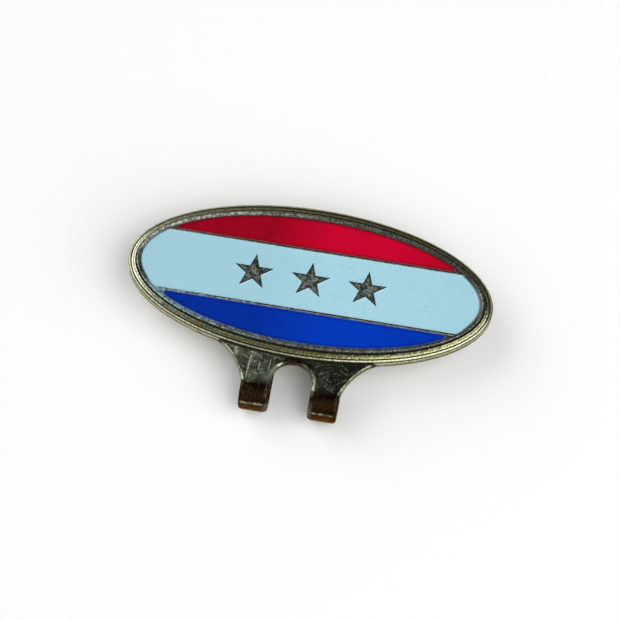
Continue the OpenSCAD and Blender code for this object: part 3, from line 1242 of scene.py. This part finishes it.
def worn_plating(colours):
    """Gold plating: worn and hazy on the legs, with a painted lighter reflection on the left leg and a
    painted darker one on the right, scratched, dark in the grooves from dirty hollows and painted shade, and
    brown on the bends as a painted reflection.
    """
    made = Finish("worn_plating", Metallic=1.0, Specular_Tint=(0.75, 0.6, 0.42, 1.0))
    along, aside, height = made.where.parts().values()
    worn, edge = made.mark(WEAR), made.mark(EDGE)
    thin = made.blotches(Scale=420.0, Cover=0.5, Softness=0.2)
    spots = made.blotches(Scale=2600.0, Cover=0.38, Softness=0.08)
    cloud = made.blotches(Scale=520.0, Cover=0.55, Softness=0.22)
    flaked = made.blotches(Scale=3600.0, Cover=0.5, Softness=0.06)
    pocks = made.blotches(Scale=5200.0, Cover=0.48, Softness=0.07)

    # Brown painted reflection on the bends, with some tarnishing near the slot's arch, and what it leaves
    # clear
    patchy = made.grain(1800.0).span(0.3, 0.7, -0.25, 0.25)
    brown = (made.mark(TARNISH_AND_REFLECTION) + (patchy + spots * -0.2)).span(0.2, 0.75)
    clear = brown.span(0.0, 1.0, 1.0, 0.25)

    # Scratches; on the rolled edges, worn spots that also serve as painted highlights, with painted dark
    # reflections between them; a hazy layer; dirty hollows and painted shade
    down = made.scratches(Turn=0.06, Density=6200.0, Stretch=0.03, Width=0.09, Cover=0.75)
    across = made.scratches(Turn=0.9, Density=8500.0, Stretch=0.08, Width=0.08, Cover=0.6)
    slanted = made.scratches(Turn=2.1, Density=7600.0, Stretch=0.05, Width=0.08, Cover=0.6)
    down = down * along.span(-4 * MM, 3 * MM, 1.0, 0.25)
    scratched = down.most(across.most(slanted) * 0.7) * worn.span(0.0, 1.0, 0.25, 1.0) * clear
    bright = made.grain(700.0).span(0.5, 0.62)
    # Along the rolled edges, where highlights fall: lighter worn spots as painted highlights, and painted
    # dark reflections between them
    rubbed_and_highlight = worn * edge * (clear * bright)
    dark_reflection = worn * edge * bright.span(0.0, 1.0, 0.85, 0.0)
    # Hazy layer, strongest on the left leg, painting it lighter than the right as a painted reflection
    haze_and_reflection = worn * cloud * along.span(-3 * MM, 5 * MM, 1.0, 0.3)
    dirt_and_shade = (made.mark(GRIME_AND_SHADE) + spots * 0.3).span(0.4, 0.95)

    # Warmer metal, most on the inner ridge; darker on the near right, and on the right leg as a painted dark
    # reflection
    across_x = along * (1 / HALF_L)
    across_y = (aside + -OVAL_Y) * (1 / HALF_W)
    reach = across_x * across_x + across_y * across_y
    ridges = 0.92, 0.95
    gold = (thin * 0.6 + flaked * 0.5) * along.span(-17 * MM, -6 * MM, 0.4, 1.0)
    gold = gold * reach.span(*ridges, 1.0, 0.25)
    near_right = along.span(8 * MM, 14 * MM, 0.0, 0.3) * aside.span(OVAL_Y - MM, OVAL_Y + MM, 1.0, 0.0)
    dim = near_right * reach.span(*ridges, 1.0, 0.6) + worn * along.span(-2 * MM, 4 * MM, 0.0, 0.3)

    base = made.layers(
        colours.plating,
        (colours.brass, gold),
        (colours.worn, worn),
        (colours.haze_and_reflection, haze_and_reflection),
        (colours.grime_and_shade, dim + pocks * 0.42),
        # Painted reflection on the bends: reddish brown low down, dark brown higher up
        (made.layers(colours.table_reflection, (colours.tarnish_and_reflection, height.span(2.2 * MM, 3.1 * MM))), brown),
        (colours.plating, scratched.most(rubbed_and_highlight) * 0.5),
        # Dirty hollows, painted shade and painted dark reflections
        (colours.grime_and_shade, dirt_and_shade.most(dark_reflection) * 0.92),
    )
    rough = made.grain(900.0).span(0.3, 0.7, 0.1, 0.2) + scratched * 0.25
    rough = rough + brown * 0.06 + dirt_and_shade * 0.25 + haze_and_reflection * 0.2 + rubbed_and_highlight * 0.2
    made.connect(Base_Color=base, Roughness=rough)
    dents = made.grain(2600.0, 2.0) * worn.span(0.0, 1.0, 4.0, 1.0)
    made.bump(made.grain(5200.0) + (dents + scratched * -0.9), 0.006 * MM)
    return made.material


def struck_nickel(colours):
    """Struck nickel: bright on the rim, darkened against the enamel by dirty corners and painted shade, dark
    and pitted on the stars, with painted glints at the near left.
    """
    made = Finish("struck_nickel")
    along, aside, height = made.where.parts().values()
    relief, grime_and_shade = made.mark(RELIEF), made.mark(GRIME_AND_SHADE)
    pits = made.blotches(Scale=3600.0, Cover=0.5, Softness=0.1)
    rubbed_and_highlight = made.blotches(Scale=1500.0, Cover=0.5, Softness=0.12)
    flecks = made.blotches(Scale=4800.0, Cover=0.42, Softness=0.06)
    scratched = made.scratches(Turn=0.6, Density=5000.0, Stretch=0.08, Width=0.05, Cover=0.5)
    # Painted shade: the rim grows darker towards its right end
    darker_right = along.span(4 * MM, 14 * MM, 0.0, 0.2)
    dirt_and_shade = (grime_and_shade + (darker_right + pits * 0.5)).span(0.5, 1.2)
    caked = rubbed_and_highlight * 0.4 + abs(along).span(12 * MM, 18 * MM, 0.0, 0.4)
    # The stars stay lighter in worn patches that also serve as painted highlights
    dark = relief * rubbed_and_highlight.span(0.0, 1.0, 1.0, 0.3) * along.span(-14 * MM, -6 * MM, 0.4, 1.0)

    # Painted highlight: whitish glints on the near left of the rim's inner foot, beside the enamel
    near = aside.span(OVAL_Y - 4 * MM, OVAL_Y - 2 * MM, 1.0, 0.0)
    near_left = along.span(-16 * MM, 2 * MM, 1.0, 0.0) * near
    painted_glints = (near_left * 0.2 + made.grain(3000.0)).span(0.58, 0.7) * near_left.span(0.0, 0.15)
    painted_glints = painted_glints * height.span(MARKER_TOP - 0.3 * MM, MARKER_TOP - 0.2 * MM)

    base = made.layers(
        colours.nickel,
        (colours.relief, dark),
        (colours.grime_and_shade, relief * pits * 0.75),
        # Dark layer and painted shade on the rim's inner slope and outer bevel
        (colours.film_and_shade, dirt_and_shade * flecks.span(0.0, 1.0, 0.97, 0.8)),
        (colours.grime_and_shade, dirt_and_shade * caked),
        # Painted shade on the stars' rounded edges
        (colours.grime_and_shade, relief * grime_and_shade * 0.75),
        (colours.deep_white, painted_glints * 0.8),
    )
    rough = made.grain(1400.0).span(0.3, 0.7, 0.12, 0.24) + relief * 0.12 + scratched * 0.15
    made.connect(Base_Color=base, Roughness=rough, Metallic=dirt_and_shade.most(painted_glints).span(0.0, 1.0, 1.0, 0.6))
    made.bump(made.grain(6000.0) + relief ** 3.0 * pits * -3.0, 0.01 * MM)
    return made.material


def fired_enamel(name, body, deep, dirt_and_shade, speck_share, edge_shade):
    """Glossy fired enamel: deeper towards one end, with fine dust, uneven tones where it meets metal, painted
    shade towards its edges, a painted highlight along the edge itself, and painted shadow against the rim on
    the far side.
    """
    made = Finish(name, IOR=1.45)
    along, edge = made.where.parts()["X"], made.mark(EDGE)
    # Darker towards the left end of each field, and somewhat darker again towards its right end
    clear = along.span(-5 * MM, 2 * MM, 0.0, 0.85)
    fading = along.span(8 * MM, 15 * MM, 0.0, -0.4)
    tone = made.blotches(Scale=260.0, Cover=0.55, Softness=0.3)
    cloudy = made.grain(2600.0, 4.0).span(0.45, 0.75, 0.0, 0.5)
    uneven = made.grain(1800.0).span(0.4, 0.6)
    dust = made.specks(Scale=1500.0, Share=speck_share, Size=0.13)
    # A bluish-white painted highlight along the edge, painted shade darkening the outer fields towards their
    # edges, and painted shadow against the rim on the far side
    highlight_tint = (0.5, 0.7, 0.8)
    pale = [mix(c, f, 0.2) for c, f in zip(body, highlight_tint)]
    crevice_shade = [0.08 * c + d for c, d in zip(body, dirt_and_shade)]
    base = made.layers(
        deep,
        (body, clear + fading + tone * 0.15),
        (dimmed(body, 0.82), cloudy),
        (dimmed(body, 0.3), edge.span(0.1, 0.75) * edge_shade),
        (pale, edge.span(0.7, 0.9) * uneven.span(0.0, 1.0, 0.2, 0.6)),
        (crevice_shade, made.mark(GRIME_AND_SHADE).span(0.55, 0.8) * 0.9),
        (dimmed(body, 0.25), dust * 0.6),
    )
    made.connect(Base_Color=base, Roughness=made.grain(1500.0, 5.0).span(0.3, 0.7, 0.07, 0.15))
    made.bump(made.grain(800.0), 0.012 * MM)
    return made.material


def scuffed_nickel(colours):
    """Bright plated magnet, scuffed by the marker."""
    made = Finish("scuffed_nickel", Metallic=1.0)
    scuffs = made.scratches(Turn=0.9, Density=2200.0, Stretch=0.07, Width=0.03, Cover=0.7)
    dull = made.blotches(Scale=900.0, Cover=0.45, Softness=0.2)
    base = made.layers(colours.magnet, (dimmed(colours.magnet, 0.55), dull * 0.5))
    rough = made.grain(1800.0).span(0.3, 0.7, 0.16, 0.26) + scuffs * 0.25
    made.connect(Base_Color=base, Roughness=rough)
    made.bump(made.grain(6000.0) + scuffs * -1.0, 0.006 * MM)
    return made.material


def set_adhesive(colours):
    """Set adhesive, slightly uneven in tone."""
    made = Finish("set_adhesive", Roughness=0.35, IOR=1.5)
    tone = made.blotches(Scale=1200.0, Cover=0.5, Softness=0.25)
    made.connect(Base_Color=made.layers(colours.adhesive, (dimmed(colours.adhesive, 0.6), tone)))
    made.bump(made.grain(2500.0), 0.01 * MM)
    return made.material


def material_named(name, build, *details):
    return bpy.data.materials.get(name) or build(*details)


# Operators


class MARKER_OT_clip_plate(bpy.types.Operator):
    """Make the clip's oval tray, legs and bends"""

    bl_idname = "marker.clip_plate"
    bl_label = "Clip plate"

    def execute(self, context):
        sizes = context.scene.clip_sizes
        metal = material_named("worn_plating", worn_plating, context.scene.finishes)
        tray = oval_tray(sizes, metal)
        blank = Blank(sizes)
        legs = blank.strip("legs", blank.front_lines(), blank.front_place, blank.front_marks, ACROSS_LEG)
        plate = shade(joined("clip_plate_sheet", tray, legs), metal)
        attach(plate, "clip")
        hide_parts("clip_plate")
        return {"FINISHED"}


class MARKER_OT_spring_tongue(bpy.types.Operator):
    """Make the sprung tongue behind the oval"""

    bl_idname = "marker.spring_tongue"
    bl_label = "Spring tongue"

    def execute(self, context):
        sizes = context.scene.clip_sizes
        metal = material_named("worn_plating", worn_plating, context.scene.finishes)
        blank = Blank(sizes)
        tongue = blank.strip(
            "tongue_sheet", blank.back_lines(), blank.back_place, blank.back_marks, ACROSS_TONGUE
        )
        shade(tongue, metal)
        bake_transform(tongue)
        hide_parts("spring_tongue")
        return {"FINISHED"}


class MARKER_OT_magnet(bpy.types.Operator):
    """Make the disc magnet and finish its adhesive"""

    bl_idname = "marker.magnet"
    bl_label = "Magnet"

    def execute(self, context):
        colours = context.scene.finishes
        nickel = material_named("scuffed_nickel", scuffed_nickel, colours)
        radius, edge = MAGNET_HIGH.x, 0.12 * MM
        disc = oval_sweep("magnet_disc", [("round", [
            (0.0, MAGNET_LOW.z, 0.0, 0.0),
            (radius, MAGNET_LOW.z, edge, 0.0),
            (radius, MAGNET_HIGH.z, edge, 0.0),
            (0.0, MAGNET_HIGH.z, 0.0, 0.0),
        ])], nickel)
        shade(disc, nickel)
        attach(disc, "clip")
        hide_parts("magnet")
        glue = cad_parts["magnet_adhesive"]
        glue.data.materials.clear()
        glue.data.materials.append(material_named("set_adhesive", set_adhesive, colours))
        return {"FINISHED"}


class MARKER_OT_marker_base(bpy.types.Operator):
    """Make the marker's struck base with its rim, dividers and stars"""

    bl_idname = "marker.marker_base"
    bl_label = "Marker base"

    def execute(self, context):
        sizes = context.scene.marker_sizes
        metal = material_named("struck_nickel", struck_nickel, context.scene.finishes)
        pieces = [build(sizes, metal) for build in (marker_rim, divider_row, tip_webs, star_row)]
        base = shade(joined("marker_base_struck", *pieces), metal)
        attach(base, "marker")
        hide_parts("marker_base")
        return {"FINISHED"}


class MARKER_OT_enamels(bpy.types.Operator):
    """Fill the marker's three fields with enamel"""

    bl_idname = "marker.enamels"
    bl_label = "Enamels"

    def execute(self, context):
        colours = context.scene.finishes
        sizes = context.scene.marker_sizes
        outer, band = Enamel(sizes, sizes.shade_w), Enamel(sizes, sizes.meniscus_w)
        # Node, piece, its two colours, the share of it that dust may take, and the strength of the painted
        # shade along its edges
        jobs = [
            ("red_enamel", outer.outer_field("red_fill", 1), colours.red, colours.deep_red, 0.03, 0.75),
            ("white_enamel", band.band_field("white_fill"), colours.white, colours.deep_white, 0.22, 0.0),
            ("blue_enamel", outer.outer_field("blue_fill", -1), colours.blue, colours.deep_blue, 0.03, 0.7),
        ]
        for node, piece, body, deep, dust, tone in jobs:
            finish = "fired_" + node
            shade(piece, material_named(finish, fired_enamel, finish, body, deep, colours.grime_and_shade, dust, tone))
            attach(piece, "marker")
            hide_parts(node)
        return {"FINISHED"}


class MARKER_OT_stage(bpy.types.Operator):
    """Set up the floor, the soft lights and the camera"""

    bl_idname = "marker.stage"
    bl_label = "Stage"

    def execute(self, context):
        scene = context.scene
        self.lay_floor(scene)
        self.light_world(scene)
        self.hang_softbox("left softbox", place=(-0.42, 0.2, 0.34), size=0.5, power=0.94)
        self.hang_softbox("right softbox", place=(0.38, -0.17, 0.42), size=0.8, power=2.95)
        self.aim_camera(scene)
        scene.view_settings.view_transform = "Standard"
        return {"FINISHED"}

    def lay_floor(self, scene):
        reach = 3.0
        corners = [(-reach, -reach, 0.0), (reach, -reach, 0.0), (reach, reach, 0.0), (-reach, reach, 0.0)]
        floor = mesh_object("floor", corners, [], [(0, 1, 2, 3)])
        tone = (*scene.finishes.floor, 1.0)
        made = Finish("floor", Base_Color=tone, Roughness=0.9, Specular_IOR_Level=0.0)
        floor.data.materials.append(made.material)
        floor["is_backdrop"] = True

    def light_world(self, scene):
        """A pale surround with soft dark patches: their ways, inner and outer turns, and the light left."""
        world = bpy.data.worlds.new("soft surround")
        scene.world = world
        world.use_nodes = True
        tree = world.node_tree
        background = tree.nodes["Background"].inputs
        way = worked(tree, "ShaderNodeTexCoord", output="Generated")
        level = 1.01
        for towards, inner, outer, left in (
            ((0.1, 0.5, 0.86), 24, 42, 0.04),
            ((0.2, 1.0, 0.3), 28, 50, 0.2),
            ((0.8, 0.55, 0.35), 20, 42, 0.3),
            ((-0.75, -0.4, 0.5), 18, 40, 0.9),
            ((-0.12, -0.3, 0.95), 16, 33, 0.16),
            ((0.0, -1.0, 0.1), 12, 32, 0.2),
        ):
            pair = {0: way, 1: tuple(Vector(towards).normalized())}
            facing = worked(tree, "ShaderNodeVectorMath", pair, "Value", operation="DOT_PRODUCT")
            edges = [math.cos(math.radians(turn)) for turn in (outer, inner)]
            level = facing.span(*edges, 1.0, left) * level
        tree.links.new(level.socket, background["Strength"])
        background["Color"].default_value = (1.0, 1.0, 1.0, 1.0)

    def hang_softbox(self, name, place, size, power):
        lamp = bpy.data.lights.new(name, "AREA")
        lamp.shape = "SQUARE"
        lamp.size = size
        lamp.energy = power
        obj = new_object(name, lamp)
        obj.location = place
        aim = Vector((0.0, OVAL_Y, RIDGE_TOP)) - Vector(place)
        obj.rotation_euler = aim.to_track_quat("-Z", "Y").to_euler()

    def aim_camera(self, scene):
        stage = scene.stage_sizes
        about = Matrix.Rotation(stage.turn, 3, "Z")
        level = about @ Vector((1.0, 0.0, 0.0))
        out = about @ Vector((0.0, -math.sin(stage.tilt), math.cos(stage.tilt)))
        right = level * math.cos(stage.roll) + out.cross(level) * math.sin(stage.roll)
        up = out.cross(right)
        data = bpy.data.cameras.new("camera")
        data.sensor_width = 36.0
        data.lens = stage.lens
        data.clip_start = 0.01
        data.clip_end = 20.0
        camera = new_object("camera", data)
        pose = Matrix((right, up, out)).transposed()
        target = Vector((0.0, OVAL_Y, stage.target_h)) + right * stage.side - up * stage.drop
        camera.matrix_world = Matrix.Translation(target + out * stage.distance) @ pose.to_4x4()
        scene.camera = camera


OPERATORS = (
    MARKER_OT_clip_plate,
    MARKER_OT_spring_tongue,
    MARKER_OT_magnet,
    MARKER_OT_marker_base,
    MARKER_OT_enamels,
    MARKER_OT_stage,
)
SETTINGS = {
    "clip_sizes": ClipSizes,
    "marker_sizes": MarkerSizes,
    "finishes": Finishes,
    "stage_sizes": StageSizes,
}


class MARKER_PT_panel(bpy.types.Panel):
    """Lists the pieces and their settings"""

    bl_idname = "MARKER_PT_panel"
    bl_label = "Ball marker"
    bl_space_type = "VIEW_3D"
    bl_region_type = "UI"
    bl_category = "Ball marker"

    def draw(self, context):
        for operator in OPERATORS:
            self.layout.operator(operator.bl_idname)
        for name, group in SETTINGS.items():
            box = self.layout.box()
            box.label(text=name.replace("_", " ").capitalize())
            for key in group.__annotations__:
                box.prop(getattr(context.scene, name), key)


CLASSES = (*SETTINGS.values(), *OPERATORS, MARKER_PT_panel)


def register():
    for cls in CLASSES:
        bpy.utils.register_class(cls)
    for name, group in SETTINGS.items():
        setattr(bpy.types.Scene, name, PointerProperty(type=group))


def unregister():
    for name in SETTINGS:
        delattr(bpy.types.Scene, name)
    for cls in reversed(CLASSES):
        bpy.utils.unregister_class(cls)


def main():
    register()
    bpy.ops.marker.clip_plate()
    bpy.ops.marker.spring_tongue()
    bpy.ops.marker.magnet()
    bpy.ops.marker.marker_base()
    bpy.ops.marker.enamels()
    bpy.ops.marker.stage()
    boxes = {"cad": CAD_BOX, "visual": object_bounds()}
    {name: [list(low), list(high)] for name, (low, high) in boxes.items()}


if __name__ == "__main__":
    main()
